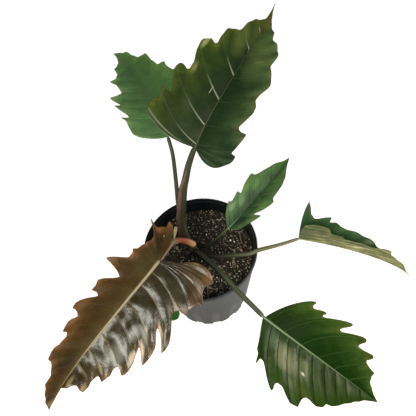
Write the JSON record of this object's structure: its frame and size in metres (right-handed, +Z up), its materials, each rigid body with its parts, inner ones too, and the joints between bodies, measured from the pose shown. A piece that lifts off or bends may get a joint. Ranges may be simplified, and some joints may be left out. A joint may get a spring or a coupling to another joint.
{
  "type": "potted foliage plant",
  "caption": "Potted caramel pluto philodendron with toothed, lobed leaves on long stalks, one of them caramel brown, in a black tapered nursery pot.",
  "frame": {"origin": "centre of the pot's underside, where it stands", "axes": "+Z up, the pot's own axis; -Y towards the side the picture was taken from; +X to its right"},
  "size_m": [0.4734, 0.5041, 0.3509],
  "materials": {
    "pot": "satin",
    "potting_mix": "matte",
    "stem": "satin",
    "tall_leaf": "gloss",
    "back_leaf": "satin",
    "caramel_leaf": "gloss",
    "front_leaf": "gloss",
    "side_leaf": "satin",
    "young_leaf": "satin",
    "low_leaf": "satin",
    "tall_leaf_stalk": "satin",
    "caramel_leaf_stalk": "satin",
    "back_leaf_stalk": "satin",
    "front_leaf_stalk": "satin",
    "side_leaf_stalk": "satin",
    "young_leaf_stalk": "satin",
    "low_leaf_stalk": "satin",
    "tall_leaf_sheath": "satin"
  },
  "bodies": {
    "root": {"pot": "pot", "potting_mix": "potting_mix", "stem": "stem", "tall_leaf": "tall_leaf", "back_leaf": "back_leaf", "caramel_leaf": "caramel_leaf", "front_leaf": "front_leaf", "side_leaf": "side_leaf", "young_leaf": "young_leaf", "low_leaf": "low_leaf", "tall_leaf_stalk": "tall_leaf_stalk", "back_leaf_stalk": "back_leaf_stalk", "caramel_leaf_stalk": "caramel_leaf_stalk", "front_leaf_stalk": "front_leaf_stalk", "side_leaf_stalk": "side_leaf_stalk", "young_leaf_stalk": "young_leaf_stalk", "low_leaf_stalk": "low_leaf_stalk", "tall_leaf_sheath": "tall_leaf_sheath"}
  },
  "joints": []
}
